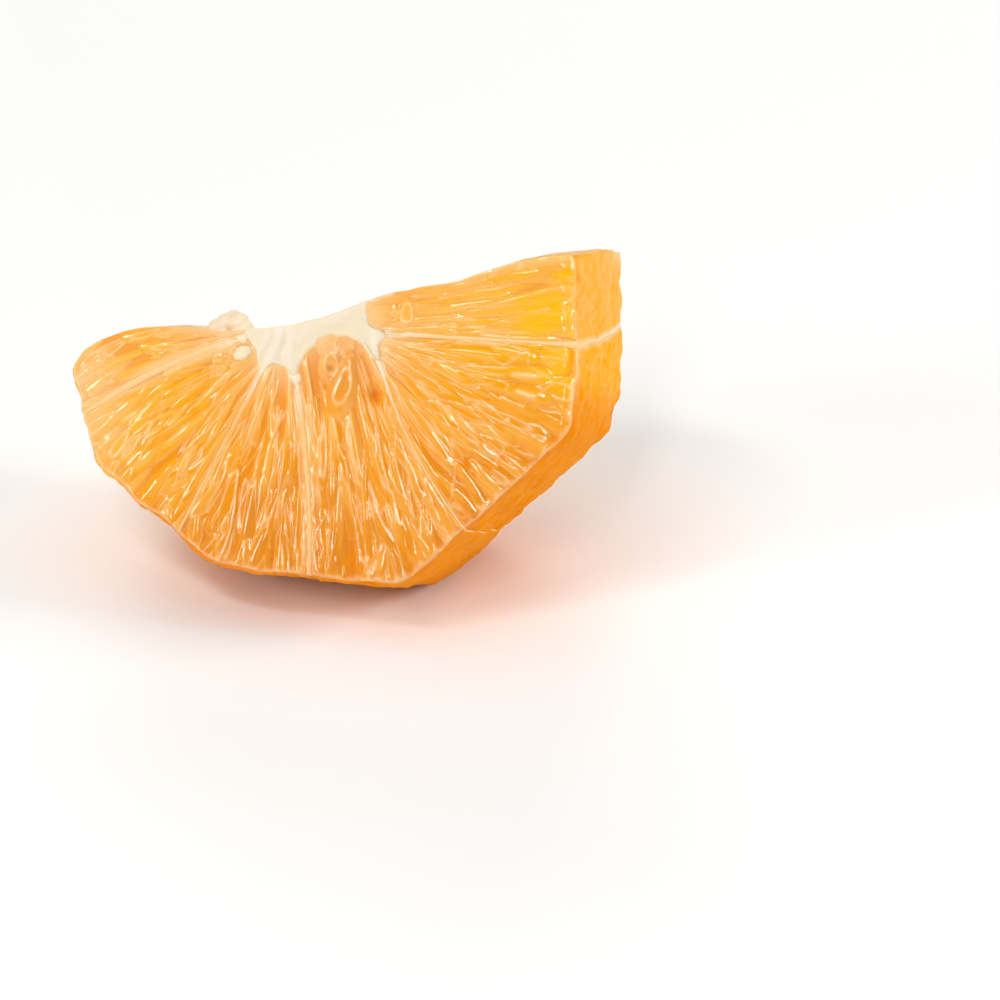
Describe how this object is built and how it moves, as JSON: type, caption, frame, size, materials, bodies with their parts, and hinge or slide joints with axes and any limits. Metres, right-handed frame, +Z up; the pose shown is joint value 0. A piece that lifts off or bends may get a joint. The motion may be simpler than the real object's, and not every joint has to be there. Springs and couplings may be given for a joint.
{
  "type": "piece of peeled orange",
  "caption": "Chunk of knife-peeled orange lying on its round side, cut across its segments, with a white pith core, thin membranes and a small seed.",
  "frame": {"origin": "on the flat that the piece rests on, under its centre of mass", "axes": "+Z up; the cut face looks towards -Y and leans back, and its straight edge is at the top, higher at +X"},
  "size_m": [0.0726, 0.055, 0.0531],
  "materials": {
    "pulp": "wet translucent orange pulp",
    "pith": "soft cream pith",
    "seed": "smooth damp seed"
  },
  "bodies": {
    "root": {"segment_1": "pulp", "segment_2": "pulp", "segment_3": "pulp", "segment_4": "pulp", "segment_5": "pulp", "segment_6": "pulp", "pith": "pith", "seed": "seed"}
  },
  "joints": []
}
